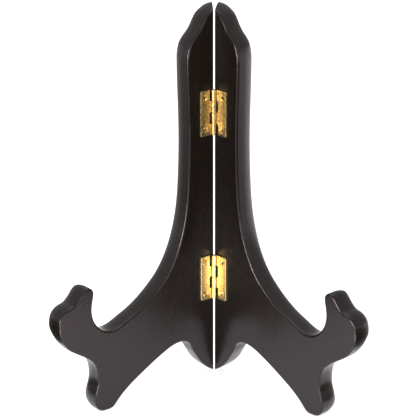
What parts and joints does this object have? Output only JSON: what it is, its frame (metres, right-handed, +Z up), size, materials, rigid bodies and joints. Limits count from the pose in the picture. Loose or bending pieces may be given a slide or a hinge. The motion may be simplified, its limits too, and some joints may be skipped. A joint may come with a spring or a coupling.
{
  "type": "folding wooden display easel",
  "caption": "Small folding display easel: mirrored black scroll-cut boards with front hooks and feet, joined along their back edges by little brass butt hinges.",
  "frame": {"origin": "on the table surface under the centre of the set-up stand's bounding box", "axes": "+Z up along the boards' height; -Y towards the viewer, the way the open V and the hooks face; +X to the viewer's right; the hinge pins stand vertically at x = 0 near the back"},
  "size_m": [0.1664, 0.0782, 0.2098],
  "materials": {
    "black_lacquer": "satin black-brown lacquer over close-grained hardwood",
    "hinge_brass": "polished, lacquered brass sheet",
    "pin_brass": "drawn brass wire",
    "screw_brass": "polished brass"
  },
  "bodies": {
    "left_half": {"left_board": "black_lacquer", "upper_left_leaf": "hinge_brass", "upper_pin": "pin_brass", "lower_left_leaf": "hinge_brass", "lower_pin": "pin_brass", "upper_left_screw_top": "screw_brass", "upper_left_screw_bottom": "screw_brass", "lower_left_screw_top": "screw_brass", "lower_left_screw_bottom": "screw_brass"},
    "right_half": {"right_board": "black_lacquer", "upper_right_leaf": "hinge_brass", "lower_right_leaf": "hinge_brass", "upper_right_screw_top": "screw_brass", "upper_right_screw_bottom": "screw_brass", "lower_right_screw_top": "screw_brass", "lower_right_screw_bottom": "screw_brass"}
  },
  "joints": [
    {"name": "fold", "type": "hinge", "parent": "left_half", "child": "right_half", "pos_m": [0, 0.023, 0.1065], "axis": [0, 0, -1], "range_deg": [-15, 99.5]}
  ]
}
